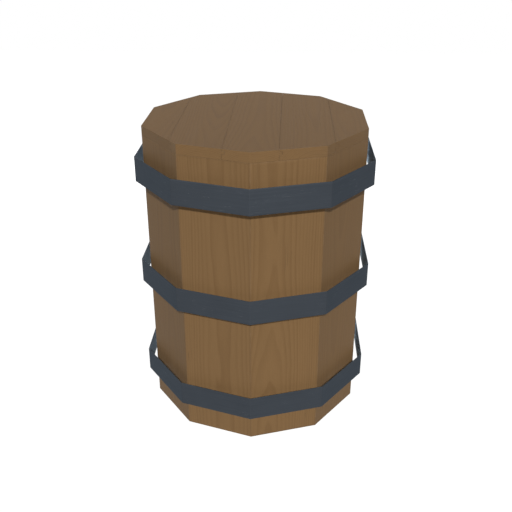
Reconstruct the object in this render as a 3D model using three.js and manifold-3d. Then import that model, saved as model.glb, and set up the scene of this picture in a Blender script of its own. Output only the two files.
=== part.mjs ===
// A ten-sided water barrel: plank staves, a bottom head let into the staves, three iron hoops carried clear
// of the staves on distance pins, and a lid of boards on two dovetailed battens that lifts straight off.
// Millimetres, +Z up. The origin is the middle of the foot, on the ground, and a corner points to -Y.
// An angle is counted about +Z from -Y towards +X, so a piece made at -Y takes its angle as rotation.z.
import * as THREE from "three";
import { mergeVertices } from "three/addons/utils/BufferGeometryUtils.js";
import Module from "manifold-3d";

// Overall sizes
const SIDES = 10;
const BARREL_HEIGHT = 880; // ground to the lid's upper face
const ACROSS_FLATS = 622; // over the outer faces of two opposite staves

// Clearances
const JOINT_GAP = 0.3; // between neighbouring boards, and between a piece and its seat
const LID_PLAY = 5; // between the ends of the lid's battens and the staves

// Staves
const STAVE_THICKNESS = 28;
const CHIME_DEPTH = 45; // ground to the underside of the bottom head
const CHIME_BEVEL_DEPTH = 10; // bevel inside the foot of each stave, across the thickness
const CHIME_BEVEL_HEIGHT = 18;
const CROZE_DEPTH = 9; // groove in the staves that holds the bottom head

// Bottom head
const HEAD_BOARDS = 3;
const HEAD_BOARD_WIDTH = 190; // of all but the two outermost, which take what is left
const HEAD_THICKNESS = 24;
const HEAD_RIM = 12; // thickness left at the edge that enters the croze
const HEAD_BEVEL = 26; // run of the bevel from the rim to the full thickness
const HEAD_TONGUE_THICKNESS = 5;

// Lid
const LID_BOARDS = 5;
const LID_BOARD_WIDTH = 143; // of all but the two outermost, which take what is left
const LID_THICKNESS = 28;
const LID_TONGUE_THICKNESS = 8;
const TONGUE_LENGTH = 8; // on the edges of lid boards and head boards alike

// Lid battens
const BATTEN_WIDTH = 62;
const BATTEN_DEPTH = 32; // below the lid
const BATTEN_SPACING = 200; // between the two centre lines
const BATTEN_END_BEVEL = 16;
const DOVETAIL_DEPTH = 9;
const DOVETAIL_NECK = 38;
const DOVETAIL_FLARE = 5; // how much wider the dovetail is on each side at its top

// Hoops
const HOOP_WIDTH = 72;
const HOOP_THICKNESS = 2;
const HOOP_STANDOFF = 23; // clear space from a stave's face to the hoop
const HOOP_END_DISTANCE = 86.5; // barrel end to the nearer edge of the top or bottom hoop
const LAP_LENGTH = 90;
const LAP_JOGGLE = 12; // run of the step that lifts the outer end over the inner end
const LAP_SIDE = 4; // number of the side, counted from the front corner, that carries the lap

// Rivets
const RIVET_SHANK = 8;
const RIVET_HEAD = 17;
const RIVET_HEAD_HEIGHT = 5;
const RIVET_SPACING = 44;
const RIVET_SEGMENTS = 12;
const RIVET_DOME_STEPS = 3;

// Distance pins, one on each stave behind each hoop, beside the corner where the hoop bears inwards
const PIN_DIAMETER = 10;
const PIN_DEPTH = 15; // let into the stave
const PIN_EDGE_DISTANCE = 20; // stave's edge to the pin's middle
const PIN_HEIGHT = 22; // hoop's lower edge to the pin's middle
const PIN_SEGMENTS = 10;

// Sizes that follow from the ones above
const SIDE_ANGLE = (2 * Math.PI) / SIDES;
const OUTER_FLAT = ACROSS_FLATS / 2; // axis to a stave's outer face
const INNER_FLAT = OUTER_FLAT - STAVE_THICKNESS;
const LID_UNDERSIDE = BARREL_HEIGHT - LID_THICKNESS;
const STAVE_TOP = LID_UNDERSIDE - JOINT_GAP;
const HEAD_TOP = CHIME_DEPTH + HEAD_THICKNESS;
const HOOP_INNER_FLAT = OUTER_FLAT + HOOP_STANDOFF;
const HOOP_OUTER_FLAT = HOOP_INNER_FLAT + HOOP_THICKNESS;
// Height of each hoop's lower edge
const HOOP_FEET = {
  top: BARREL_HEIGHT - HOOP_END_DISTANCE - HOOP_WIDTH,
  middle: (BARREL_HEIGHT - HOOP_WIDTH) / 2,
  bottom: HOOP_END_DISTANCE,
};
const LAP_INNER_FLAT = HOOP_OUTER_FLAT + JOINT_GAP;
const LAP_OUTER_FLAT = LAP_INNER_FLAT + HOOP_THICKNESS;
const LAP_MIDDLE_FLAT = (HOOP_INNER_FLAT + LAP_OUTER_FLAT) / 2;
const RIVET_PLACES = [-RIVET_SPACING / 2, RIVET_SPACING / 2]; // along the lap from its middle

// Materials
const woodColour = new THREE.Color().setRGB(0.21, 0.122, 0.056);
const staveWood = new THREE.MeshStandardMaterial({ color: woodColour, roughness: 0.8 });
const headWood = new THREE.MeshStandardMaterial({ color: 0x745a3d, roughness: 0.85 });
const lidWood = new THREE.MeshStandardMaterial({ color: 0x78624c, roughness: 0.8 });
const hoopIron = new THREE.MeshStandardMaterial({ color: 0x41474d, roughness: 0.6, metalness: 0.4 });
const pinIron = new THREE.MeshStandardMaterial({ color: 0x3c4147, roughness: 0.55, metalness: 0.5 });
const rivetIron = new THREE.MeshStandardMaterial({ color: 0x3c4147, roughness: 0.55, metalness: 0.5 });

const wasm = await Module();
wasm.setup();

// A closed geometry as a solid that can be cut and joined.
function solidOf(geometry) {
  const bare = geometry.clone();
  bare.deleteAttribute("normal");
  bare.deleteAttribute("uv");
  const merged = mergeVertices(bare);
  const mesh = new wasm.Mesh({
    numProp: 3,
    vertProperties: merged.attributes.position.array,
    triVerts: merged.index.array,
  });
  return new wasm.Manifold(mesh);
}

// A solid back as a flat-shaded geometry.
function geometryOf(solid) {
  const { vertProperties, triVerts } = solid.getMesh();
  const indexed = new THREE.BufferGeometry();
  indexed.setAttribute("position", new THREE.BufferAttribute(vertProperties, 3));
  indexed.setIndex(new THREE.BufferAttribute(triVerts, 1));
  const flat = indexed.toNonIndexed();
  flat.computeVertexNormals();
  return flat;
}

// An outline of [x, y] points drawn up from z = 0 to the height.
function prism(outline, height) {
  const shape = new THREE.Shape(outline.map(([x, y]) => new THREE.Vector2(x, y)));
  return new THREE.ExtrudeGeometry(shape, { depth: height, bevelEnabled: false });
}

// An outline of [y, z] points drawn along X, with half of the length on either side of x = 0.
function barAlongX(outline, length) {
  const turn = new THREE.Matrix4().set(0, 0, 1, -length / 2, 1, 0, 0, 0, 0, 1, 0, 0, 0, 0, 0, 1);
  return prism(outline, length).applyMatrix4(turn);
}

// An outline of [x, z] points drawn along Y, with half of the length on either side of y = 0.
function barAlongY(outline, length) {
  return prism(outline, length).rotateX(Math.PI / 2).translate(0, length / 2, 0);
}

// Distance from the axis to a corner of the polygon whose sides lie at this distance.
function cornerRadius(flat) {
  return flat / Math.cos(SIDE_ANGLE / 2);
}

// Half of the length of a side of that polygon.
function halfSide(flat) {
  return flat * Math.tan(SIDE_ANGLE / 2);
}

// The middle of a side, as an angle. Side 0 follows the corner at -Y.
function sideAngle(side) {
  return (side + 0.5) * SIDE_ANGLE;
}

// The point at a distance along a side from its middle, and at a distance out from the axis.
function onSide(side, along, out) {
  const angle = sideAngle(side);
  return [
    out * Math.sin(angle) + along * Math.cos(angle),
    -out * Math.cos(angle) + along * Math.sin(angle),
  ];
}

// The corner at the start of a side.
function cornerPoint(side, flat) {
  return onSide(side, -halfSide(flat), flat);
}

// A solid whose rings are polygons: the profile holds [side distance, z] points, from the axis to the axis.
function polygonLathe(profile) {
  const points = profile.map(([flat, z]) => new THREE.Vector2(cornerRadius(flat), z));
  return new THREE.LatheGeometry(points, SIDES).rotateX(Math.PI / 2);
}

// The largest x that the polygon of this side distance reaches.
function reachAlongX(flat) {
  const corners = Array.from({ length: SIDES }, (_, side) => cornerPoint(side, flat)[0]);
  return Math.max(...corners);
}

// How far along +X the polygon of this side distance is open at a given y.
function openWidthAt(flat, y) {
  const limits = [];
  for (let side = 0; side < SIDES; side += 1) {
    const across = Math.sin(sideAngle(side));
    if (across > 0) limits.push((flat + Math.cos(sideAngle(side)) * y) / across);
  }
  return Math.min(...limits);
}

function addMesh(parent, name, geometry, material) {
  const mesh = new THREE.Mesh(geometry, material);
  mesh.name = name;
  parent.add(mesh);
  return mesh;
}

function twoDigits(number) {
  return String(number).padStart(2, "0");
}

// A round bar along -Y between two distances from the axis, with its middle at z = 0.
function roundBar(radius, from, to, segments) {
  const cylinder = new THREE.CylinderGeometry(radius, radius, to - from, segments);
  return cylinder.translate(0, -(from + to) / 2, 0);
}

// Where the pin in the stave at -Y lies along the stave's width, as x.
function pinPlace() {
  return PIN_EDGE_DISTANCE - halfSide(OUTER_FLAT);
}

// A distance pin runs from the bottom of its hole in the stave to the hoop's inner face.
function pinGeometry() {
  const pin = roundBar(PIN_DIAMETER / 2, OUTER_FLAT - PIN_DEPTH, HOOP_INNER_FLAT - JOINT_GAP, PIN_SEGMENTS);
  return pin.translate(pinPlace(), 0, 0);
}

// The hole for a pin in the stave at -Y, at a height.
function pinHole(height) {
  const radius = PIN_DIAMETER / 2 + JOINT_GAP;
  const bottom = OUTER_FLAT - PIN_DEPTH - JOINT_GAP;
  const hole = roundBar(radius, bottom, HOOP_INNER_FLAT, PIN_SEGMENTS);
  return solidOf(hole.translate(pinPlace(), 0, height));
}

// One stave at -Y: its section from foot to top, cut to the mitred wedge that the sides leave.
function staveGeometry() {
  const crozeTop = HEAD_TOP + JOINT_GAP;
  const crozeBottom = HEAD_TOP - HEAD_RIM - JOINT_GAP;
  const section = [
    [-OUTER_FLAT, 0],
    [-OUTER_FLAT, STAVE_TOP],
    [-INNER_FLAT, STAVE_TOP],
    [-INNER_FLAT, crozeTop],
    [-INNER_FLAT - CROZE_DEPTH, crozeTop],
    [-INNER_FLAT - CROZE_DEPTH, crozeBottom],
    [-INNER_FLAT, crozeBottom],
    [-INNER_FLAT, CHIME_BEVEL_HEIGHT],
    [-INNER_FLAT - CHIME_BEVEL_DEPTH, 0],
  ];
  const plank = barAlongX(section, 2 * halfSide(OUTER_FLAT));
  const edgeGap = JOINT_GAP / 2 / Math.cos(SIDE_ANGLE / 2);
  const outerHalf = halfSide(OUTER_FLAT) - edgeGap;
  const innerHalf = halfSide(INNER_FLAT) - edgeGap;
  const wedge = prism(
    [
      [-outerHalf, -OUTER_FLAT],
      [outerHalf, -OUTER_FLAT],
      [innerHalf, -INNER_FLAT],
      [-innerHalf, -INNER_FLAT],
    ],
    STAVE_TOP,
  );
  let stave = solidOf(plank).intersect(solidOf(wedge));
  for (const foot of Object.values(HOOP_FEET)) {
    stave = stave.subtract(pinHole(foot + PIN_HEIGHT));
  }
  return geometryOf(stave);
}

function addStaves(parent) {
  const geometry = staveGeometry();
  for (let side = 0; side < SIDES; side += 1) {
    const stave = addMesh(parent, `stave_${twoDigits(side + 1)}`, geometry, staveWood);
    stave.rotation.z = sideAngle(side);
  }
}

// The outline across one board of a panel, with a tongue on its +X edge and a groove on its -X edge.
// The outermost edges run past the panel, because the panel's own outline cuts them.
function boardOutline(panel, index) {
  const { boards, boardWidth, halfWidth, bottom, top, tongueMiddle, tongueThickness } = panel;
  const first = index === 0;
  const last = index === boards - 1;
  const left = first ? -halfWidth - JOINT_GAP : (index - boards / 2) * boardWidth + JOINT_GAP / 2;
  const right = last ? halfWidth + JOINT_GAP : (index + 1 - boards / 2) * boardWidth - JOINT_GAP / 2;
  const tongueHalf = tongueThickness / 2;
  const grooveHalf = tongueHalf + JOINT_GAP;
  const outline = [
    [left, bottom],
    [right, bottom],
  ];
  if (!last) {
    outline.push([right, tongueMiddle - tongueHalf]);
    outline.push([right + TONGUE_LENGTH, tongueMiddle - tongueHalf]);
    outline.push([right + TONGUE_LENGTH, tongueMiddle + tongueHalf]);
    outline.push([right, tongueMiddle + tongueHalf]);
  }
  outline.push([right, top], [left, top]);
  if (!first) {
    outline.push([left, tongueMiddle + grooveHalf]);
    outline.push([left + TONGUE_LENGTH, tongueMiddle + grooveHalf]);
    outline.push([left + TONGUE_LENGTH, tongueMiddle - grooveHalf]);
    outline.push([left, tongueMiddle - grooveHalf]);
  }
  return outline;
}

// The boards of a tongued and grooved panel, as solids in order along +X.
function panelBoards(panel) {
  const blank = solidOf(panel.blank);
  const pastBothEnds = 4 * panel.halfWidth;
  const solids = [];
  for (let index = 0; index < panel.boards; index += 1) {
    const strip = barAlongY(boardOutline(panel, index), pastBothEnds);
    solids.push(blank.intersect(solidOf(strip)));
  }
  return solids;
}

// The bottom head is full thickness in the middle and bevelled underneath to a rim that fits the croze.
function addHead(parent) {
  const rimFlat = INNER_FLAT + CROZE_DEPTH - JOINT_GAP;
  const shoulderFlat = INNER_FLAT - JOINT_GAP;
  const rimBottom = HEAD_TOP - HEAD_RIM;
  const blank = polygonLathe([
    [0, CHIME_DEPTH],
    [shoulderFlat - HEAD_BEVEL, CHIME_DEPTH],
    [shoulderFlat, rimBottom],
    [rimFlat, rimBottom],
    [rimFlat, HEAD_TOP],
    [0, HEAD_TOP],
  ]);
  const boards = panelBoards({
    blank,
    boards: HEAD_BOARDS,
    boardWidth: HEAD_BOARD_WIDTH,
    halfWidth: reachAlongX(rimFlat),
    bottom: CHIME_DEPTH,
    top: HEAD_TOP,
    tongueMiddle: HEAD_TOP - HEAD_RIM / 2,
    tongueThickness: HEAD_TONGUE_THICKNESS,
  });
  boards.forEach((board, index) => {
    addMesh(parent, `head_board_${index + 1}`, geometryOf(board), headWood);
  });
}

// The outline across a batten's dovetail, grown on every side by a clearance. z = 0 is the lid's underside.
function dovetailOutline(clearance) {
  const neck = DOVETAIL_NECK / 2 + clearance;
  const crown = neck + DOVETAIL_FLARE;
  const height = DOVETAIL_DEPTH + clearance;
  return [
    [-neck, 0],
    [neck, 0],
    [crown, height],
    [-crown, height],
  ];
}

// Half of a batten's length: it stops short of the staves at the corner of its end.
function battenHalfLength() {
  const outerEdge = BATTEN_SPACING / 2 + BATTEN_WIDTH / 2;
  return openWidthAt(INNER_FLAT, outerEdge) - LID_PLAY;
}

// The stopped groove that a batten's dovetail fills, across the lid boards and open at their underside.
function dovetailGroove(y) {
  const [neckLeft, neckRight, crownRight, crownLeft] = dovetailOutline(JOINT_GAP);
  const outline = [
    [neckLeft[0], -JOINT_GAP],
    [neckRight[0], -JOINT_GAP],
    neckRight,
    crownRight,
    crownLeft,
    neckLeft,
  ];
  const groove = barAlongX(outline, 2 * (battenHalfLength() + JOINT_GAP));
  return solidOf(groove).translate([0, y, LID_UNDERSIDE]);
}

// A batten hangs below the lid. Its ends are bevelled underneath so that the lid finds its place.
function battenGeometry() {
  const half = battenHalfLength();
  const [neckLeft, neckRight, crownRight, crownLeft] = dovetailOutline(0);
  const across = [
    [-BATTEN_WIDTH / 2, -BATTEN_DEPTH],
    [BATTEN_WIDTH / 2, -BATTEN_DEPTH],
    [BATTEN_WIDTH / 2, -JOINT_GAP],
    [neckRight[0], -JOINT_GAP],
    crownRight,
    crownLeft,
    [neckLeft[0], -JOINT_GAP],
    [-BATTEN_WIDTH / 2, -JOINT_GAP],
  ];
  const side = [
    [-half + BATTEN_END_BEVEL, -BATTEN_DEPTH],
    [half - BATTEN_END_BEVEL, -BATTEN_DEPTH],
    [half, -BATTEN_DEPTH + BATTEN_END_BEVEL],
    [half, DOVETAIL_DEPTH],
    [-half, DOVETAIL_DEPTH],
    [-half, -BATTEN_DEPTH + BATTEN_END_BEVEL],
  ];
  const bar = solidOf(barAlongX(across, 2 * half));
  const ends = solidOf(barAlongY(side, 2 * BATTEN_WIDTH));
  return geometryOf(bar.intersect(ends));
}

// The lid covers the ends of the staves and is flush with their outer faces.
function addLid(parent) {
  const blank = polygonLathe([
    [0, LID_UNDERSIDE],
    [OUTER_FLAT, LID_UNDERSIDE],
    [OUTER_FLAT, BARREL_HEIGHT],
    [0, BARREL_HEIGHT],
  ]);
  const boards = panelBoards({
    blank,
    boards: LID_BOARDS,
    boardWidth: LID_BOARD_WIDTH,
    halfWidth: reachAlongX(OUTER_FLAT),
    bottom: LID_UNDERSIDE,
    top: BARREL_HEIGHT,
    tongueMiddle: (LID_UNDERSIDE + DOVETAIL_DEPTH + BARREL_HEIGHT) / 2,
    tongueThickness: LID_TONGUE_THICKNESS,
  });
  const frontGroove = dovetailGroove(-BATTEN_SPACING / 2);
  const backGroove = dovetailGroove(BATTEN_SPACING / 2);
  boards.forEach((board, index) => {
    const grooved = board.subtract(frontGroove).subtract(backGroove);
    addMesh(parent, `lid_board_${index + 1}`, geometryOf(grooved), lidWood);
  });
  const batten = battenGeometry();
  addMesh(parent, "lid_batten_front", batten, lidWood).position.set(0, -BATTEN_SPACING / 2, LID_UNDERSIDE);
  addMesh(parent, "lid_batten_back", batten, lidWood).position.set(0, BATTEN_SPACING / 2, LID_UNDERSIDE);
}

// A hoop is one strip bent round every corner. Its outer end steps out and laps over its inner end.
function hoopOutline() {
  const lapStart = -LAP_LENGTH / 2;
  const lapEnd = LAP_LENGTH / 2;
  const stepEnd = lapStart - JOINT_GAP;
  const stepStart = stepEnd - LAP_JOGGLE;
  const corners = Array.from({ length: SIDES }, (_, index) => LAP_SIDE + 1 + index);
  return [
    onSide(LAP_SIDE, lapStart, HOOP_OUTER_FLAT),
    ...corners.map((side) => cornerPoint(side, HOOP_OUTER_FLAT)),
    onSide(LAP_SIDE, stepStart, HOOP_OUTER_FLAT),
    onSide(LAP_SIDE, stepEnd, LAP_OUTER_FLAT),
    onSide(LAP_SIDE, lapEnd, LAP_OUTER_FLAT),
    onSide(LAP_SIDE, lapEnd, LAP_INNER_FLAT),
    onSide(LAP_SIDE, stepEnd, LAP_INNER_FLAT),
    onSide(LAP_SIDE, stepStart, HOOP_INNER_FLAT),
    ...corners.reverse().map((side) => cornerPoint(side, HOOP_INNER_FLAT)),
    onSide(LAP_SIDE, lapStart, HOOP_INNER_FLAT),
  ];
}

// A round hole for a rivet through both layers of the lap, at a distance along the side from its middle.
function rivetHole(along) {
  const radius = RIVET_SHANK / 2 + JOINT_GAP;
  const from = HOOP_INNER_FLAT - HOOP_THICKNESS;
  const to = LAP_OUTER_FLAT + HOOP_THICKNESS;
  const hole = roundBar(radius, from, to, RIVET_SEGMENTS).translate(along, 0, HOOP_WIDTH / 2);
  return solidOf(hole.rotateZ(sideAngle(LAP_SIDE)));
}

function hoopGeometry() {
  let hoop = solidOf(prism(hoopOutline(), HOOP_WIDTH));
  for (const along of RIVET_PLACES) {
    hoop = hoop.subtract(rivetHole(along));
  }
  return geometryOf(hoop);
}

// A rivet along -Y with a low dome at either end. Its middle is halfway through the two layers of the lap.
function rivetGeometry() {
  const grip = LAP_OUTER_FLAT - LAP_MIDDLE_FLAT + JOINT_GAP;
  const tip = grip + RIVET_HEAD_HEIGHT;
  const head = RIVET_HEAD / 2;
  const shank = RIVET_SHANK / 2;
  const domeRadius = (head * head + RIVET_HEAD_HEIGHT * RIVET_HEAD_HEIGHT) / (2 * RIVET_HEAD_HEIGHT);
  const domeAngle = Math.asin(head / domeRadius);
  const dome = [];
  for (let step = 0; step <= RIVET_DOME_STEPS; step += 1) {
    const angle = (domeAngle * step) / RIVET_DOME_STEPS;
    dome.push([domeRadius * Math.sin(angle), tip - domeRadius * (1 - Math.cos(angle))]);
  }
  const innerHalf = dome.map(([radius, along]) => [radius, -along]);
  const outerHalf = dome.slice().reverse();
  const profile = [...innerHalf, [shank, -grip], [shank, grip], ...outerHalf];
  const points = profile.map(([radius, along]) => new THREE.Vector2(radius, along));
  return new THREE.LatheGeometry(points, RIVET_SEGMENTS);
}

// One hoop with its rivets and its pins, from the hoop's lower edge up.
function addHoop(parent, place, height, geometries) {
  const group = new THREE.Group();
  group.position.z = height;
  parent.add(group);
  addMesh(group, `${place}_hoop`, geometries.hoop, hoopIron);
  RIVET_PLACES.forEach((along, index) => {
    const rivet = addMesh(group, `${place}_hoop_rivet_${index + 1}`, geometries.rivet, rivetIron);
    const [x, y] = onSide(LAP_SIDE, along, LAP_MIDDLE_FLAT);
    rivet.position.set(x, y, HOOP_WIDTH / 2);
    rivet.rotation.z = sideAngle(LAP_SIDE);
  });
  for (let side = 0; side < SIDES; side += 1) {
    const pin = addMesh(group, `${place}_hoop_pin_${twoDigits(side + 1)}`, geometries.pin, pinIron);
    pin.position.z = PIN_HEIGHT;
    pin.rotation.z = sideAngle(side);
  }
}

function addHoops(parent) {
  const geometries = { hoop: hoopGeometry(), rivet: rivetGeometry(), pin: pinGeometry() };
  addHoop(parent, "top", HOOP_FEET.top, geometries);
  addHoop(parent, "middle", HOOP_FEET.middle, geometries);
  addHoop(parent, "bottom", HOOP_FEET.bottom, geometries);
}

const waterBarrel = new THREE.Group();
waterBarrel.name = "water_barrel";
addStaves(waterBarrel);
addHead(waterBarrel);
addHoops(waterBarrel);
addLid(waterBarrel);

export default waterBarrel;
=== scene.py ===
"""The looks of a ten-sided water barrel: sawn boards, slate-dark iron hoops, studio light and camera."""

import math
import random

import bmesh
import bpy
from mathutils import Matrix, Vector, noise


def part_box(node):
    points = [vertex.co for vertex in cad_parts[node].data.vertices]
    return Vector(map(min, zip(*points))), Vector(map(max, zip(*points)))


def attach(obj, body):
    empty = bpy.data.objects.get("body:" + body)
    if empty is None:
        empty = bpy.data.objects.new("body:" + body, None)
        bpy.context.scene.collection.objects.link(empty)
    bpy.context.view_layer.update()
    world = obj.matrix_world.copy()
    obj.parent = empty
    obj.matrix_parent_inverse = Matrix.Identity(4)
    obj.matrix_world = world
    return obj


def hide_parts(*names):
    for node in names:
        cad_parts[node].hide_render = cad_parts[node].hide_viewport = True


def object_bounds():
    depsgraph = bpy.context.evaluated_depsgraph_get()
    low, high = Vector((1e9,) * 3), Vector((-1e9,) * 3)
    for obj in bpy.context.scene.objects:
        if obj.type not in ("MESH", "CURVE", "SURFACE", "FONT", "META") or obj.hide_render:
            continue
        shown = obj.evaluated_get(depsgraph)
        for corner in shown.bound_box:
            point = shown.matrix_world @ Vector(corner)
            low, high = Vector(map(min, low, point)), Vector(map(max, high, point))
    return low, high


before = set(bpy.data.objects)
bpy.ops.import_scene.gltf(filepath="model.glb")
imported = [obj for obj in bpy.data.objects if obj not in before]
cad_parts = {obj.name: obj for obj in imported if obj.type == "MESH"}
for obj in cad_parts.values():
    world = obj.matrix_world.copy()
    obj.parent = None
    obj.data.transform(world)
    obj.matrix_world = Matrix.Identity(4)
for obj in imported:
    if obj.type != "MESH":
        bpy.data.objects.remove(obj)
cad_low, cad_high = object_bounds()

# Axes
RIGHT = Vector((1, 0, 0))
BACK = Vector((0, 1, 0))
UP = Vector((0, 0, 1))

# Names and sizes from the frame, in metres
SIDES = 10
SIDE_ANGLE = 2 * math.pi / SIDES
STAVE_AT_X = "stave_03"  # the stave that faces +X
LAP_SIDE = 4  # the side that carries the laps of the hoops
INNER_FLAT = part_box(STAVE_AT_X)[0].x  # axis to a stave's inner face
STAVE_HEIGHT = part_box(STAVE_AT_X)[1].z
BARREL_MIDDLE = (cad_low + cad_high) / 2
HOOPS = ("top_hoop", "middle_hoop", "bottom_hoop")
LAP_RIVETS = (1, 2)
HEAD_BOARDS = ("head_board_1", "head_board_2", "head_board_3")
LID_BOARDS = ("lid_board_1", "lid_board_2", "lid_board_3", "lid_board_4", "lid_board_5")
LID_BATTENS = ("lid_batten_front", "lid_batten_back")

# Meshes
WELD = 1e-6  # corners of a mesh that are nearer than this are one
FLAT_ANGLE = math.radians(1)  # faces that meet at less than this are one flat face
SHARP_ANGLE = math.radians(40)  # edges that turn more than this are sharp
HOLE_REACH = 0.025  # the walls of a hole lie within this distance of the middle of its pin or rivet
FACE_DEPTH = 1e-4  # a point nearer than this to a board's face is on it
ROUND_STEPS = 24

# Boards
STAVE_SWELLING = 0.00016  # on each edge
ARRIS = 0.0004  # how far a board's edge is planed off
ARRIS_STEPS = 2
ARRIS_WEAR = 0.8  # how much that changes along the edge, as a share
ARRIS_WEAR_STEP = 0.03  # and about how often
ARRIS_PLACES = 50  # boards take that wear from places up to this far apart in a noise
BROAD_FACE = 0.04  # mean width from which a face is broad
BROAD_BAND = 0.007  # how far rubbing and grime reach in from its edges
SLIM_FACE = 0.012  # mean width from which a face is slim, and not an edge
SLIM_BAND = 0.001

# Logs that the boards are sawn from
PITH_DEPTH = (0.06, 0.14)  # from a board's middle back to the pith, at least and at most
PITH_SIDE = 0.05  # how far to either side of that the pith lies
LOG_LENGTH = 9
LOG_LEAN = 0.022  # the most that a log leans through its board, in radians
LOG_SWAY = 0.012  # and across it

# Iron
HOOP_BEND = 0.0015  # how far a hoop's bend reaches from its corner
BEND_STEPS = 5
HOOP_RIM = 0.0004  # rounding of a hoop's rims
RIM_STEPS = 2
HOOP_BAND = 0.005  # how far rubbing reaches in from a rim
INWARD = -0.8  # how far a face is turned to the axis that counts as a hoop's inside, as a cosine
PIN_CHAMFER = 0.0006
WELD_BEAD = 0.0022  # size of the bead that joins a pin to its hoop
BEAD_STEPS = 4
BEAD_PLACES = 7  # how far apart the beads of a hoop lie in a noise
RIVET_SHANK = 0.004  # radius, clear of its hole
RIVET_GAP = 0.0003  # between a rivet's head and the iron under it
DOME_STEPS = 8
HAND_WORK = 0.0003  # unevenness of a bead or of a hammered head
HAND_WORK_STEP = 0.004  # and about how often that changes
HAND_WORK_SHIFTS = (RIGHT * 17, BACK * 17, UP * 17)  # places in a noise for X, Y and Z

# Grain of the wood. A scale is how often a pattern changes in a metre: across, through and along the log
RING_WIDTH = 0.0046
RING_WANDER = 0.030  # how far rings wander off
WANDER_SCALE = (5, 5, 0.9)
RING_RIPPLE = 0.0022  # and ripple
RIPPLE_SCALE = (45, 45, 5)
LATE_START = 0.30  # where the late wood starts and is darkest, as shares of a ring
LATE_DARKEST = 0.90
FAINTEST_RING = 0.35
STREAK_SCALE = (75, 75, 2.4)
FIBRE_SCALE = (1100, 1100, 22)
CHECK_SCALE = (130, 130, 1.7)
CHECK_LINE = (0.002, 0.009)  # core and rim of a drying check, as steps of its noise
CHECKED_SCALE = (14, 14, 3.5)
CHECKED = (0.60, 0.70)  # where checks start to show and show fully, as levels of that noise
BLOTCH_SCALE = (5, 5, 3)

# Patterns of the iron, with scales along X, Y and Z
CLOUD_SCALE = (16, 16, 16)
ROLLING_SCALE = (7, 7, 500)
GRIT_SCALE = (650, 650, 650)
DENT_SCALE = (60, 60, 60)
SCUFF_SCALE = (11, 11, 260)
SCUFF_LINE = (0.002, 0.008)
SCUFFED_SCALE = (24, 24, 40)
SCUFFED = (0.54, 0.66)

# Edges that are rubbed and grimy: levels of the edge mask with a coarse and a fine noise added
COARSE_SCALE = (38, 38, 38)
FINE_SCALE = (420, 420, 420)
RAGGEDNESS = 0.5  # how much each noise adds
RUBBED = (1.36, 1.62)
GRIMY = (0.75, 1.40)

# Water in the barrel
WATER_LINE = 0.7 * STAVE_HEIGHT  # how high the water mostly stands
WATER_FADE = 0.03  # from there to where the damp ends
TIDE_MARK = 0.008  # how far lime reaches from the end of the damp
WATER_SWAY = 0.03  # how uneven that line is in the large
SWAY_SCALE = (9, 9, 9)
WATER_RIPPLE = 0.01  # and in the small
TIDE_SCALE = (90, 90, 30)
DROP_SCALE = (60, 60, 22)
DROPS = (0.50, 0.72)  # where drops start and are wettest, as levels of their noise
DROP_DAMP = 0.3

# Painted shade and sheen: the sides that turn away from the key light, and the lid's rims, are made darker
# and greyer
# the side that gets no painted side shade, near the key light
UNSHADED_SIDE = math.radians(8)
SIDE_SHADE_SPREAD = 0.74  # the painted side shade is full where the cosine of the angle from there is less than 1 by this

# Wood colours, stains, wear and painted shade, with colours as red, green and blue. A coat is a mask, its
# strength and its colour
OUTER_WOOD = ((0.197, 0.113, 0.0470), (0.166, 0.092, 0.037))  # early wood and late wood
HEAD_WOOD = ((0.17, 0.097, 0.042), (0.143, 0.079, 0.033))
# painted shade and sheen on the lid's top: darker for the light it gets, greyer for the reflection it shows
TOP_SHADE_COLOUR = (0.104, 0.091, 0.078)
# painted shade and sheen on the sides that turn away from the key light, and on the lid's rims
SIDE_SHADE_COLOUR = (0.10, 0.075, 0.05)
# painted shade inside the drying checks, which are only a bump on the mesh
CHECK_SHADE_COLOUR = (0.045, 0.028, 0.016)
EDGE_GRIME = (0.07, 0.045, 0.028)
BARE_WOOD = (0.40, 0.27, 0.15)
WET_WOOD = (0.045, 0.027, 0.014)
LIME_SCALE = (0.30, 0.25, 0.19)
WOOD_COATS = (
    # painted shade and sheen on the lid's top
    ("Top", 0.2, TOP_SHADE_COLOUR),
    # painted shade and sheen on the sides away from the key light
    ("Side shade", 0.35, SIDE_SHADE_COLOUR),
    # painted shade inside the drying checks
    ("Check", 0.5, CHECK_SHADE_COLOUR),
    ("Grime", 0.1, EDGE_GRIME),
    ("Rubbed", 0.16, BARE_WOOD),
    ("Damp", 0.62, WET_WOOD),
    ("Tide mark", 0.3, LIME_SCALE),
)
WOOD_SHADE = 0.80  # brightness, to which patterns add
WOOD_SHADES = {"Streak": 0.12, "Fibre": 0.24, "Blotch": 0.05, "Tone": 0.015}
WOOD_ROUGHNESS = 0.60
WOOD_ROUGHNESSES = {"Streak": 0.10, "Ring": -0.04, "Top": 0.09, "Damp": -0.2}
WOOD_HEIGHTS = {"Ring": 0.5, "Fibre": 0.6, "Check": -2.0}
WOOD_BUMP = {"Strength": 0.5, "Distance": 0.0003}
WOOD_SPECULAR = 0.2

# Iron finish
HOOP_IRON = (0.051, 0.059, 0.070)
FITTING_IRON = (0.046, 0.053, 0.063)
DARK_SHEEN = (0.55, 0.6, 0.65)
DARK_ROUGHNESS = 0.50
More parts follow.
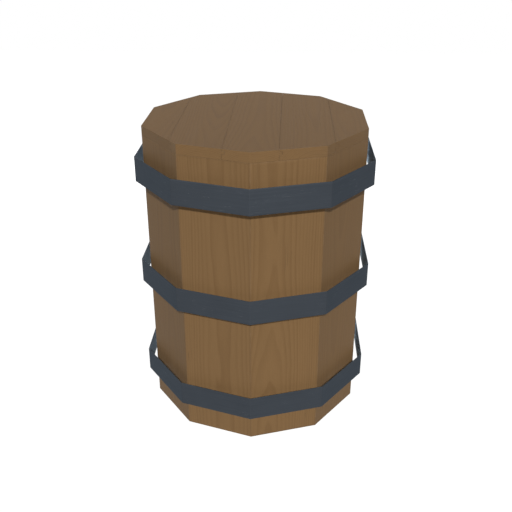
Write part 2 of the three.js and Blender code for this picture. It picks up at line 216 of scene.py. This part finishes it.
# the hoops' bare inside, made pale and bluish as painted light for the shaded gap behind the hoops
INSIDE_IRON_LIGHTENED = (0.42, 0.54, 0.66)
BARE_SHEEN = (0.85, 0.95, 1.0)
BARE_ROUGHNESS = 0.56
RUBBED_IRON = (0.16, 0.17, 0.18)
IRON_COATS = (("Scuff", 0.3, RUBBED_IRON), ("Rubbed", 0.25, RUBBED_IRON))
IRON_SHADE = 0.71
IRON_SHADES = {"Cloud": 0.20, "Streak": 0.30, "Grit": 0.08}
IRON_ROUGHNESSES = {"Cloud": 0.20, "Grit": 0.08, "Scuff": -0.1}
IRON_HEIGHTS = {"Dent": 1.5, "Streak": 0.4, "Grit": 0.2, "Scuff": -0.3}
IRON_BUMP = {"Strength": 0.3, "Distance": 0.0004}

# Sockets and levels of Blender's nodes
MIXED_COLOURS = (6, 7)  # the inputs of a Mix node that take colours
MIX_RESULT = 2  # and the output that gives one
NOISE_MEAN = 0.5

# Camera
LENS = 50
SENSOR = 36
CAMERA_AZIMUTH = math.radians(2.62)
CAMERA_ELEVATION = math.radians(25.965)
CAMERA_DISTANCE = 2.22

# Light
KEY_AZIMUTH = math.radians(3.7)
KEY_ELEVATION = math.radians(36.3)
KEY_STRENGTH = 3.7
KEY_ANGLE = math.radians(4)
SHADOW_LIGHT = 0.2  # the share of the key that casts no shadow
FILL_AZIMUTHS = (math.radians(148), math.radians(-148))
FILL_SIZE = 1.2
FILL_POWER = 40
LAMP_DISTANCE = 2.6
AMBIENT = 0.03

# Floor and backdrop
WHITE = (1, 1, 1, 1)
BACKDROP = 1  # strength at which it is white
FLOOR_GREY = (0.2, 0.2, 0.2, 1)
FLOOR_GLOW = 0.88
FLOOR_SIZE = 12
FLOOR_GAP = 0.0003  # between the floor and the foot


# Making meshes

def direction(azimuth, elevation=0.0):
    """The unit vector towards an azimuth, counted from -Y towards +X, and an elevation."""
    level = math.cos(elevation)
    return Vector((math.sin(azimuth) * level, -math.cos(azimuth) * level, math.sin(elevation)))


def side_angle(side):
    """The middle of a side, as an angle from -Y towards +X."""
    return (side + 0.5) * SIDE_ANGLE


def on_side(name, side):
    """The name of the stave or the pin on a side."""
    return f"{name}_{side + 1:02d}"


def middle_of(node):
    low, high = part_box(node)
    return (low + high) / 2


def span(node, axis):
    """The nearest and the furthest point of a node along an axis, as distances from the origin."""
    reach = [vert.co.dot(axis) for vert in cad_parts[node].data.vertices]
    return min(reach), max(reach)


def add_object(name, data):
    added = bpy.data.objects.new(name, data)
    bpy.context.scene.collection.objects.link(added)
    return added


def mesh_from(name, bm, materials):
    """Turns a bmesh into a mesh and frees it."""
    mesh = bpy.data.meshes.new(name)
    bm.to_mesh(mesh)
    bm.free()
    for material in materials:
        mesh.materials.append(material)
    return mesh


def add_piece(name, bm, node, body, slot, *materials):
    """Turns a bmesh into a piece that stands for a node of the frame and moves with its body."""
    piece = add_object(name, mesh_from(name, bm, materials))
    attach(piece, body)
    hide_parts(node)


def copy_of(node, fillers=()):
    """A bmesh of a node's solid, with its flat faces whole and the holes round the fillers closed."""
    bm = bmesh.new()
    bm.from_mesh(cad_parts[node].data)
    bmesh.ops.remove_doubles(bm, verts=bm.verts, dist=WELD)
    for filler in fillers:
        close_hole(bm, filler)
    bmesh.ops.dissolve_limit(bm, angle_limit=FLAT_ANGLE, verts=bm.verts, edges=bm.edges)
    bm.normal_update()
    return bm


def close_hole(bm, filler):
    """Takes out the walls of the hole round a pin or a rivet and closes its mouths."""
    middle = middle_of(filler)

    def in_hole(face):
        return all((vert.co - middle).length < HOLE_REACH for vert in face.verts)

    walls = [face for face in bm.faces if in_hole(face)]
    bmesh.ops.delete(bm, geom=walls, context="FACES")
    mouths = [edge for edge in bm.edges if edge.is_boundary]
    bmesh.ops.holes_fill(bm, edges=mouths, sides=len(mouths))
    bmesh.ops.recalc_face_normals(bm, faces=bm.faces)


def bevel(bm, edges, offset, steps, clamp=False):
    """Rounds edges off. Gives back the new faces."""
    return bmesh.ops.bevel(
        bm, geom=edges, offset=offset, affect="EDGES", segments=steps, profile=0.5, material=-1,
        clamp_overlap=clamp,
    )["faces"]


def mean_width(face):
    return 2 * face.calc_area() / face.calc_perimeter()


def smooth_round_faces(bm):
    """Smooth shading everywhere but across the sharp edges."""
    for face in bm.faces:
        face.smooth = True
    for edge in bm.edges:
        edge.smooth = edge.calc_face_angle(0) < SHARP_ANGLE


def spun(profile):
    """A closed round shape about the Z axis, from a profile of (radius, height) points."""
    bm = bmesh.new()
    points = [bm.verts.new((radius, 0, height)) for radius, height in profile]
    edges = [bm.edges.new(pair) for pair in zip(points, points[1:])]
    bmesh.ops.spin(
        bm, geom=points + edges, cent=(0, 0, 0), axis=UP, angle=2 * math.pi, steps=ROUND_STEPS,
        use_merge=True,
    )
    bmesh.ops.remove_doubles(bm, verts=bm.verts, dist=WELD)
    bmesh.ops.recalc_face_normals(bm, faces=bm.faces)
    return bm


def work_by_hand(verts, place):
    """Makes points uneven, as a hammer or a weld leaves them."""
    for vert in verts:
        spot = vert.co / HAND_WORK_STEP + place
        vert.co += Vector([noise.noise(spot + shift) for shift in HAND_WORK_SHIFTS]) * HAND_WORK


# Boards

def sharp_edges(bm):
    return [edge for edge in bm.edges if edge.is_convex and edge.calc_face_angle(0) > SHARP_ANGLE]


def plane_edges(bm, place):
    """Planes off the sharp edges, a little more here and a little less there. Gives back the new faces."""
    for edge in sharp_edges(bm):
        cuts = round(edge.calc_length() / ARRIS_WEAR_STEP) - 1
        if cuts > 0:
            bmesh.ops.bisect_edges(bm, edges=[edge], cuts=cuts)
    bm.normal_update()
    corner = bm.verts.layers.float_vector.new("corner")
    for vert in bm.verts:
        vert[corner] = vert.co
    planed = bevel(bm, sharp_edges(bm), ARRIS, ARRIS_STEPS, clamp=True)
    for vert in {vert for face in planed for vert in face.verts}:
        old = vert[corner].copy()
        wear = 1 + ARRIS_WEAR * noise.noise(old / ARRIS_WEAR_STEP + place)
        vert.co = old.lerp(vert.co, wear)
    bm.verts.layers.float_vector.remove(corner)
    return planed


def mark_edges(bm, planed):
    """Insets the flat faces and sets the edge mask, from 1 on the edges to 0 where the band ends."""
    edge = bm.verts.layers.float.new("edge")
    for vert in bm.verts:
        vert[edge] = 1
    planed = set(planed)
    flats = [(face, mean_width(face)) for face in bm.faces if face not in planed]
    broad = [face for face, width in flats if width > BROAD_FACE]
    slim = [face for face, width in flats if SLIM_FACE < width <= BROAD_FACE]
    for faces, band in ((broad, BROAD_BAND), (slim, SLIM_BAND)):
        bmesh.ops.inset_region(bm, faces=faces, thickness=band, use_even_offset=True, use_boundary=True)
        for face in faces:
            for vert in face.verts:
                vert[edge] = 0


def own_axes(across, along, middle):
    """The matrix into a board's own axes: across its width, out through its face and along its grain."""
    through = across.cross(along)
    return Matrix((across, through, along)).to_4x4() @ Matrix.Translation(-middle)


def log_axes(chance):
    """The matrix from a board's own axes into the log that it was sawn from, whose pith is the Z axis."""
    pith_depth = chance.uniform(*PITH_DEPTH)
    pith_side = chance.uniform(-PITH_SIDE, PITH_SIDE)
    up_the_log = chance.uniform(0, LOG_LENGTH)
    lean = Matrix.Rotation(chance.uniform(-LOG_LEAN, LOG_LEAN), 4, "X")
    sway = Matrix.Rotation(chance.uniform(-LOG_SWAY, LOG_SWAY), 4, "Y")
    return Matrix.Translation((pith_side, pith_depth, up_the_log)) @ lean @ sway


def painted_side_shade(point):
    """How much painted shade and sheen the side at a point gets: from 0 on the side towards the key light to
    1 at the back.
    """
    side = math.floor(math.atan2(point.x, -point.y) / SIDE_ANGLE)
    return min(1, (1 - math.cos(side_angle(side) - UNSHADED_SIDE)) / SIDE_SHADE_SPREAD)


def add_board(node, bm, body, slot, material, across, along, masks):
    """A board with planed edges. Its points carry their place in the log, its tone and its masks."""
    chance = random.Random(node)
    log = log_axes(chance) @ own_axes(across, along, middle_of(node))
    board_tone = chance.uniform(-1, 1)
    planed = plane_edges(bm, Vector((chance.uniform(0, ARRIS_PLACES), 0, 0)))
    mark_edges(bm, planed)
    grain = bm.verts.layers.float_vector.new("grain")
    tone = bm.verts.layers.float.new("tone")
    layers = {name: bm.verts.layers.float.new(name) for name in masks}
    for vert in bm.verts:
        vert[grain] = log @ vert.co
        vert[tone] = board_tone
        for name, mask in masks.items():
            vert[layers[name]] = mask(vert.co)
    add_piece(f"{node}_board", bm, node, body, slot, material)


def swell(stave, across):
    """Widens a stave until it meets its neighbours, as wet wood does."""
    for vert in stave.verts:
        vert.co += across * math.copysign(STAVE_SWELLING, vert.co.dot(across))


def add_stave(side, material):
    node = on_side("stave", side)
    angle = side_angle(side)
    outward = direction(angle)
    across = Vector((math.cos(angle), math.sin(angle), 0))
    # painted shade and sheen, stronger the further this stave turns away from the key light
    side_shading = painted_side_shade(outward)
    stave = copy_of(node, [on_side(f"{hoop}_pin", side) for hoop in HOOPS])
    swell(stave, across)
    masks = {
        "inside": lambda point: point.dot(outward) < INNER_FLAT + FACE_DEPTH,
        "side_shade": lambda point: side_shading,
    }
    add_board(node, stave, "barrel", "stave_wood", material, across, UP, masks)


def add_staves(material):
    for side in range(SIDES):
        add_stave(side, material)


def add_head(material):
    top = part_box(HEAD_BOARDS[0])[1].z
    masks = {"inside": lambda point: point.z > top - FACE_DEPTH}
    for name in HEAD_BOARDS:
        add_board(name, copy_of(name), "barrel", "head_wood", material, RIGHT, BACK, masks)


def add_lid(material):
    low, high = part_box(LID_BOARDS[0])

    def underneath(point):
        return point.z < low.z + FACE_DEPTH

    def on_top(point):
        return point.z > high.z - FACE_DEPTH

    # the lid's rims take the painted side shade, and its top takes the painted top shade
    def rim_side_shade(point):
        return 0 if underneath(point) or on_top(point) else painted_side_shade(point)

    board_masks = {"inside": underneath, "top": on_top, "side_shade": rim_side_shade}
    batten_masks = {"inside": lambda point: True}
    for name in LID_BOARDS:
        add_board(name, copy_of(name), "lid", "lid_wood", material, RIGHT, BACK, board_masks)
    for name in LID_BATTENS:
        add_board(name, copy_of(name), "lid", "lid_wood", material, -BACK, RIGHT, batten_masks)


# Iron

def add_hoop(node, dark_iron, lightened_bare_iron):
    """A strip with round bends and rims, bare on its inside, where a paler iron is painted light for the
    shaded gap behind the hoop. Its points carry the edge mask.
    """
    low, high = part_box(node)
    bm = copy_of(node, [f"{node}_rivet_{number}" for number in LAP_RIVETS])

    def from_rim(vert):
        return min(vert.co.z - low.z, high.z - vert.co.z)

    def is_bend(edge):
        first, second = edge.verts
        upright = abs(first.co.z - second.co.z) > (high.z - low.z) / 2
        return upright and FLAT_ANGLE < edge.calc_face_angle(0) < SHARP_ANGLE

    def is_rim(edge):
        on_rim = all(from_rim(vert) < WELD for vert in edge.verts)
        return on_rim and edge.calc_face_angle(0) > SHARP_ANGLE

    bevel(bm, [edge for edge in bm.edges if is_bend(edge)], HOOP_BEND, BEND_STEPS)
    bevel(bm, [edge for edge in bm.edges if is_rim(edge)], HOOP_RIM, RIM_STEPS)
    for height in (low.z + HOOP_BAND, high.z - HOOP_BAND):
        everything = bm.verts[:] + bm.edges[:] + bm.faces[:]
        bmesh.ops.bisect_plane(bm, geom=everything, plane_co=UP * height, plane_no=UP, dist=WELD)
    edge_mask = bm.verts.layers.float.new("edge")
    for vert in bm.verts:
        vert[edge_mask] = max(0, 1 - from_rim(vert) / HOOP_BAND)
    bm.normal_update()
    # faces that look at the axis take the lightened bare iron, painted light for the shaded gap
    for face in bm.faces:
        outward = face.calc_center_median() * Vector((1, 1, 0))
        face.material_index = int(face.normal.dot(outward.normalized()) < INWARD)
    add_piece(f"{node}_strip", bm, node, "barrel", "hoop_iron", dark_iron, lightened_bare_iron)


def turn_outward(bm, outward, origin):
    """Lays a shape's Z axis along a level direction, with its origin at a point."""
    turn = UP.rotation_difference(outward).to_matrix().to_4x4()
    bmesh.ops.transform(bm, matrix=Matrix.Translation(origin) @ turn, verts=bm.verts)


def add_pin(node, side, material):
    """A round pin with a chamfer at its inner end and a bead of weld at its hoop."""
    outward = direction(side_angle(side))
    low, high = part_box(node)
    start, end = span(node, outward)
    radius = (high.z - low.z) / 2
    length = end - start
    bead = []
    for step in range(BEAD_STEPS + 1):
        angle = math.pi / 2 * step / BEAD_STEPS
        bead.append((
            radius + WELD_BEAD * (1 - math.cos(angle)),
            length - WELD_BEAD * (1 - math.sin(angle)),
        ))
    bm = spun([(0, 0), (radius - PIN_CHAMFER, 0), (radius, PIN_CHAMFER), *bead, (0, length)])
    bead_verts = [vert for vert in bm.verts if length - WELD_BEAD < vert.co.z < length - WELD]
    work_by_hand(bead_verts, UP * BEAD_PLACES * side)
    smooth_round_faces(bm)
    turn_outward(bm, outward, (low + high - outward * length) / 2)
    add_piece(f"{node}_round", bm, node, "barrel", "pin_iron", material)


def add_rivet(node, grip, material):
    """A rivet through the lap, with a hammered dome at either end. The grip is what it holds together."""
    outward = direction(side_angle(LAP_SIDE))
    low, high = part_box(node)
    start, end = span(node, outward)
    head = (high.z - low.z) / 2
    half = (end - start) / 2
    under = grip / 2 + RIVET_GAP
    dome = []
    for step in range(DOME_STEPS + 1):
        angle = math.pi / 2 * step / DOME_STEPS
        dome.append((head * math.sin(angle), under + (half - under) * math.cos(angle)))
    inner = [(radius, -height) for radius, height in dome]
    bm = spun([*inner, (RIVET_SHANK, -under), (RIVET_SHANK, under), *reversed(dome)])
    domes = [vert for vert in bm.verts if abs(vert.co.z) > under + HAND_WORK]
    work_by_hand(domes, (low + high) / HAND_WORK_STEP)
    smooth_round_faces(bm)
    turn_outward(bm, outward, middle_of(node))
    add_piece(f"{node}_set", bm, node, "barrel", "rivet_iron", material)


def add_iron(hoop_iron, lightened_bare_iron, fitting_iron):
    outward = direction(side_angle(LAP_SIDE))
    for hoop in HOOPS:
        add_hoop(hoop, hoop_iron, lightened_bare_iron)
        for side in range(SIDES):
            add_pin(on_side(f"{hoop}_pin", side), side, fitting_iron)
        lap_inner = span(on_side(f"{hoop}_pin", LAP_SIDE), outward)[1]
        lap_outer = span(hoop, outward)[1]
        for number in LAP_RIVETS:
            add_rivet(f"{hoop}_rivet_{number}", lap_outer - lap_inner, fitting_iron)


# Node trees

class Tree:
    """A node tree that is being filled. Most methods add a node and give back its output."""

    def __init__(self, tree):
        self.tree = tree

    def node(self, kind, inputs=None, **settings):
        node = self.tree.nodes.new(kind)
        for name, value in settings.items():
            setattr(node, name, value)
        for name, value in (inputs or {}).items():
            self.feed(node.inputs[name], value)
        return node

    def feed(self, socket, value):
        """Links an output to the input, or sets the input to a plain value."""
        if isinstance(value, bpy.types.NodeSocket):
            self.tree.links.new(value, socket)
        else:
            socket.default_value = value

    def math(self, operation, *values):
        node = self.node("ShaderNodeMath", operation=operation)
        for socket, value in zip(node.inputs, values):
            self.feed(socket, value)
        return node.outputs[0]

    def plus(self, start, value, weight):
        """The start plus a value times its weight."""
        return self.math("MULTIPLY_ADD", value, weight, start)

    def total(self, start, values, weights):
        """The start plus each value that has a weight times that weight."""
        for name, weight in weights.items():
            start = self.plus(start, values[name], weight)
        return start

    def stretch(self, place, scale):
        """A place with each axis multiplied by its own scale."""
        node = self.node("ShaderNodeVectorMath", {0: place, 1: scale}, operation="MULTIPLY")
        return node.outputs["Vector"]

    def length(self, vector):
        return self.node("ShaderNodeVectorMath", {0: vector}, operation="LENGTH").outputs["Value"]

    def noise(self, place, scale, detail=2.0, roughness=0.5):
        """Noise from 0 to 1. The scale is per metre, for each axis."""
        inputs = {"Vector": self.stretch(place, scale), "Scale": 1, "Detail": detail, "Roughness": roughness}
        return self.node("ShaderNodeTexNoise", inputs).outputs[0]

    def ramp(self, value, start, end, low=0.0, high=1.0, kind="SMOOTHSTEP"):
        """From low at the start to high at the end, and level beyond."""
        inputs = {"Value": value, "From Min": start, "From Max": end, "To Min": low, "To Max": high}
        return self.node("ShaderNodeMapRange", inputs, interpolation_type=kind).outputs["Result"]

    def thin_lines(self, place, scale, core, rim):
        """Lines where a noise crosses its mean: 1 within the core of a line, 0 outside its rim."""
        across = self.math("SUBTRACT", self.noise(place, scale, detail=1), NOISE_MEAN)
        return self.ramp(self.math("ABSOLUTE", across), core, rim, 1, 0)

    def mix(self, share, first, second):
        """A share of the second colour over the first. A plain colour is red, green and blue."""
        node = self.node("ShaderNodeMix", {"Factor": share}, data_type="RGBA")
        for number, colour in zip(MIXED_COLOURS, (first, second)):
            plain = not isinstance(colour, bpy.types.NodeSocket)
            self.feed(node.inputs[number], (*colour, 1) if plain else colour)
        return node.outputs[MIX_RESULT]

    def coated(self, colour, masks, coats):
        """A colour under coats of others, each as strong as its mask times its strength."""
        for mask, strength, coat in coats:
            colour = self.mix(self.math("MULTIPLY", masks[mask], strength), colour, coat)
        return colour

    def shaded(self, colour, shade):
        """A colour made lighter or darker by a value around 1."""
        node = self.node("ShaderNodeVectorMath", {0: colour, "Scale": shade}, operation="SCALE")
        return node.outputs["Vector"]

    def bump(self, height, settings):
        """The normal of a surface with that height over it."""
        return self.node("ShaderNodeBump", {**settings, "Height": height}).outputs[0]

    def attribute(self, name, output="Fac"):
        return self.node("ShaderNodeAttribute", attribute_name=name).outputs[output]

    def group(self, group, inputs):
        """The outputs of a node group, by name."""
        return dict(self.node("ShaderNodeGroup", inputs, node_tree=group).outputs.items())


class Group(Tree):
    """A shader node group that is being filled."""

    def __init__(self, name, inputs):
        super().__init__(bpy.data.node_groups.new(name, "ShaderNodeTree"))
        for label, kind in inputs.items():
            self.tree.interface.new_socket(label, in_out="INPUT", socket_type=f"NodeSocket{kind}")
        self.given = self.node("NodeGroupInput").outputs

    def giving(self, values):
        """Puts values out under their names. Gives back the finished group."""
        for label in values:
            self.tree.interface.new_socket(label, in_out="OUTPUT", socket_type="NodeSocketFloat")
        self.node("NodeGroupOutput", values)
        return self.tree


def empty_tree(owner):
    """The node tree of a material or a world, with nothing in it."""
    owner.use_nodes = True
    owner.node_tree.nodes.clear()
    return Tree(owner.node_tree)


# Patterns

def sawn_grain_group():
    """Growth rings, streaks, fibres and drying checks at a place in the log."""
    group = Group("Sawn grain", {"Place": "Vector", "Ring width": "Float"})
    place = group.given["Place"]
    from_pith = group.length(group.stretch(place, (1, 1, 0)))
    wandering = group.plus(from_pith, group.noise(place, WANDER_SCALE), RING_WANDER)
    radius = group.plus(wandering, group.noise(place, RIPPLE_SCALE), RING_RIPPLE)
    rings = group.math("DIVIDE", radius, group.given["Ring width"])
    number = group.math("FLOOR", rings)
    chance = group.node("ShaderNodeTexWhiteNoise", {"W": number}, noise_dimensions="1D").outputs["Value"]
    strength = group.ramp(chance, 0, 1, FAINTEST_RING, 1, kind="LINEAR")
    within = group.math("FRACT", rings)
    rise = group.ramp(within, LATE_START, LATE_DARKEST)
    fall = group.ramp(within, LATE_DARKEST, 1, 1, 0)
    late = group.math("MULTIPLY", rise, fall)
    lines = group.thin_lines(place, CHECK_SCALE, *CHECK_LINE)
    checked = group.ramp(group.noise(place, CHECKED_SCALE), *CHECKED)
    return group.giving({
        "Ring": group.math("MULTIPLY", late, strength),
        "Streak": group.noise(place, STREAK_SCALE, detail=4, roughness=0.6),
        "Fibre": group.noise(place, FIBRE_SCALE, detail=3, roughness=0.6),
        "Check": group.math("MULTIPLY", lines, checked),
    })


def rolled_iron_group():
    """Clouds, level rolling streaks, grit, hammer dents and scuffs."""
    group = Group("Rolled iron", {"Place": "Vector"})
    place = group.given["Place"]
    lines = group.thin_lines(place, SCUFF_SCALE, *SCUFF_LINE)
    scuffed = group.ramp(group.noise(place, SCUFFED_SCALE), *SCUFFED)
    return group.giving({
        "Cloud": group.noise(place, CLOUD_SCALE, detail=4),
        "Streak": group.noise(place, ROLLING_SCALE, detail=3),
        "Grit": group.noise(place, GRIT_SCALE),
        "Dent": group.noise(place, DENT_SCALE, detail=1),
        "Scuff": group.math("MULTIPLY", lines, scuffed),
    })


def edge_wear_group():
    """Where an edge is rubbed bare, and where dirt collects along it, from the edge mask."""
    group = Group("Edge wear", {"Edge": "Float", "Place": "Vector"})
    ragged = group.given["Edge"]
    for scale in (COARSE_SCALE, FINE_SCALE):
        ragged = group.plus(ragged, group.noise(group.given["Place"], scale, detail=3), RAGGEDNESS)
    return group.giving({"Rubbed": group.ramp(ragged, *RUBBED), "Grime": group.ramp(ragged, *GRIMY)})


def water_stain_group():
    """How damp a board is, and where the water's edge has left lime, on faces that look into the barrel."""
    group = Group("Water stain", {"Inside": "Float", "Place": "Vector"})
    place = group.given["Place"]
    inside = group.given["Inside"]
    height = group.node("ShaderNodeSeparateXYZ", {0: place}).outputs["Z"]
    swaying = group.plus(height, group.noise(place, SWAY_SCALE, detail=3), WATER_SWAY)
    uneven = group.plus(swaying, group.noise(place, TIDE_SCALE), WATER_RIPPLE)
    damp_end = WATER_LINE + WATER_FADE
    wet = group.ramp(uneven, WATER_LINE, damp_end, 1, 0)
    drops = group.ramp(group.noise(place, DROP_SCALE, detail=3), *DROPS, 0, DROP_DAMP)
    off_edge = group.math("ABSOLUTE", group.math("SUBTRACT", uneven, damp_end))
    lime = group.ramp(off_edge, 0, TIDE_MARK, 1, 0)
    return group.giving({
        "Damp": group.math("MULTIPLY", inside, group.math("MAXIMUM", wet, drops)),
        "Tide mark": group.math("MULTIPLY", inside, lime),
    })


# Materials

def new_material(name):
    """An empty material, its tree and the inputs of its Principled shader."""
    material = bpy.data.materials.new(name)
    tree = empty_tree(material)
    shader = tree.node("ShaderNodeBsdfPrincipled")
    tree.node("ShaderNodeOutputMaterial", {"Surface": shader.outputs[0]})
    return material, tree, shader.inputs


def object_place(tree):
    return tree.node("ShaderNodeTexCoord").outputs["Object"]


def wood_material(name, groups, early, late):
    """Planed softwood, water-stained on the faces that look into the barrel, with painted shade and sheen on
    its sides and the lid's top, and painted shade in its drying checks.
    """
    material, tree, shader = new_material(name)
    place = object_place(tree)
    log_place = tree.attribute("grain", "Vector")
    patterns = {
        "Tone": tree.attribute("tone"),
        "Top": tree.attribute("top"),
        "Side shade": tree.attribute("side_shade"),
        "Blotch": tree.noise(place, BLOTCH_SCALE, detail=3),
        **tree.group(groups["grain"], {"Place": log_place, "Ring width": RING_WIDTH}),
        **tree.group(groups["wear"], {"Edge": tree.attribute("edge"), "Place": place}),
        **tree.group(groups["stain"], {"Inside": tree.attribute("inside"), "Place": place}),
    }
    shade = tree.total(WOOD_SHADE, patterns, WOOD_SHADES)
    colour = tree.shaded(tree.mix(patterns["Ring"], early, late), shade)
    # besides grime, wear and water stains, the coats paint shade and sheen on the sides and the lid's top,
    # and shade in the checks
    tree.feed(shader["Base Color"], tree.coated(colour, patterns, WOOD_COATS))
    tree.feed(shader["Roughness"], tree.total(WOOD_ROUGHNESS, patterns, WOOD_ROUGHNESSES))
    tree.feed(shader["Normal"], tree.bump(tree.total(0, patterns, WOOD_HEIGHTS), WOOD_BUMP))
    shader["Specular IOR Level"].default_value = WOOD_SPECULAR
    return material


def iron_material(name, groups, colour, sheen, roughness):
    """Rolled iron, hammered by hand, with its rims rubbed. The sheen is the tint of its gloss at a slant."""
    material, tree, shader = new_material(name)
    place = object_place(tree)
    patterns = {
        **tree.group(groups["iron"], {"Place": place}),
        **tree.group(groups["wear"], {"Edge": tree.attribute("edge"), "Place": place}),
    }
    shaded = tree.shaded(colour, tree.total(IRON_SHADE, patterns, IRON_SHADES))
    tree.feed(shader["Base Color"], tree.coated(shaded, patterns, IRON_COATS))
    tree.feed(shader["Roughness"], tree.total(roughness, patterns, IRON_ROUGHNESSES))
    tree.feed(shader["Normal"], tree.bump(tree.total(0, patterns, IRON_HEIGHTS), IRON_BUMP))
    shader["Metallic"].default_value = 1
    shader["Specular Tint"].default_value = (*sheen, 1)
    return material


# Stage

def set_out(name, data, towards, distance):
    """Places a camera or a lamp out from the middle of the barrel and aims it at that."""
    placed = add_object(name, data)
    placed.location = BARREL_MIDDLE + towards * distance
    placed.rotation_mode = "QUATERNION"
    placed.rotation_quaternion = towards.to_track_quat("Z", "Y")
    return placed


def add_camera():
    camera = bpy.data.cameras.new("camera")
    camera.lens = LENS
    camera.sensor_width = SENSOR
    towards = direction(CAMERA_AZIMUTH, CAMERA_ELEVATION)
    bpy.context.scene.camera = set_out("camera", camera, towards, CAMERA_DISTANCE)


def add_lights():
    """A key from the front, part of which also reaches into its shadows, and two soft boxes for the back."""
    for name, share, shadow in (("key", 1 - SHADOW_LIGHT, True), ("shadow_light", SHADOW_LIGHT, False)):
        key = bpy.data.lights.new(name, "SUN")
        key.energy = KEY_STRENGTH * share
        key.angle = KEY_ANGLE
        key.use_shadow = shadow
        set_out(name, key, direction(KEY_AZIMUTH, KEY_ELEVATION), LAMP_DISTANCE)
    for number, azimuth in enumerate(FILL_AZIMUTHS, start=1):
        fill = bpy.data.lights.new(f"fill_{number}", "AREA")
        fill.shape = "DISK"
        fill.size = FILL_SIZE
        fill.energy = FILL_POWER
        set_out(fill.name, fill, direction(azimuth), LAMP_DISTANCE)


def lit_or_seen(tree, lit, seen):
    """One shader for light on the object, and another for what the camera sees, directly or mirrored."""
    path = tree.node("ShaderNodeLightPath").outputs
    camera_or_gloss = tree.math("MAXIMUM", path["Is Camera Ray"], path["Is Glossy Ray"])
    directly = tree.math("MAXIMUM", camera_or_gloss, path["Is Transmission Ray"])
    return tree.node("ShaderNodeMixShader", {0: directly, 1: lit, 2: seen}).outputs[0]


def make_world():
    world = bpy.data.worlds.new("studio")
    tree = empty_tree(world)
    light = tree.node("ShaderNodeBackground", {"Color": WHITE, "Strength": AMBIENT})
    backdrop = tree.node("ShaderNodeBackground", {"Color": WHITE, "Strength": BACKDROP})
    either = lit_or_seen(tree, light.outputs[0], backdrop.outputs[0])
    tree.node("ShaderNodeOutputWorld", {"Surface": either})
    bpy.context.scene.world = world


def floor_material():
    """Matt grey that takes a shadow, and glows where it is seen so that it is as pale as the backdrop."""
    material = bpy.data.materials.new("floor")
    tree = empty_tree(material)
    matt = tree.node("ShaderNodeBsdfDiffuse", {"Color": FLOOR_GREY})
    glow = tree.node("ShaderNodeEmission", {"Color": WHITE, "Strength": FLOOR_GLOW})
    pale = tree.node("ShaderNodeAddShader", {0: matt.outputs[0], 1: glow.outputs[0]})
    either = lit_or_seen(tree, matt.outputs[0], pale.outputs[0])
    tree.node("ShaderNodeOutputMaterial", {"Surface": either})
    return material


def make_floor():
    bm = bmesh.new()
    bmesh.ops.create_grid(bm, x_segments=1, y_segments=1, size=FLOOR_SIZE / 2)
    floor = add_object("floor", mesh_from("floor", bm, [floor_material()]))
    floor.location.z = -FLOOR_GAP


groups = {
    "grain": sawn_grain_group(),
    "wear": edge_wear_group(),
    "stain": water_stain_group(),
    "iron": rolled_iron_group(),
}
add_staves(wood_material("stave_wood", groups, *OUTER_WOOD))
add_head(wood_material("head_wood", groups, *HEAD_WOOD))
add_lid(wood_material("lid_wood", groups, *OUTER_WOOD))
add_iron(
    iron_material("hoop_iron", groups, HOOP_IRON, DARK_SHEEN, DARK_ROUGHNESS),
    iron_material("lightened_bare_iron", groups, INSIDE_IRON_LIGHTENED, BARE_SHEEN, BARE_ROUGHNESS),
    iron_material("fitting_iron", groups, FITTING_IRON, DARK_SHEEN, DARK_ROUGHNESS),
)
add_camera()
add_lights()
make_world()
make_floor()
bpy.context.scene.view_settings.view_transform = "Standard"
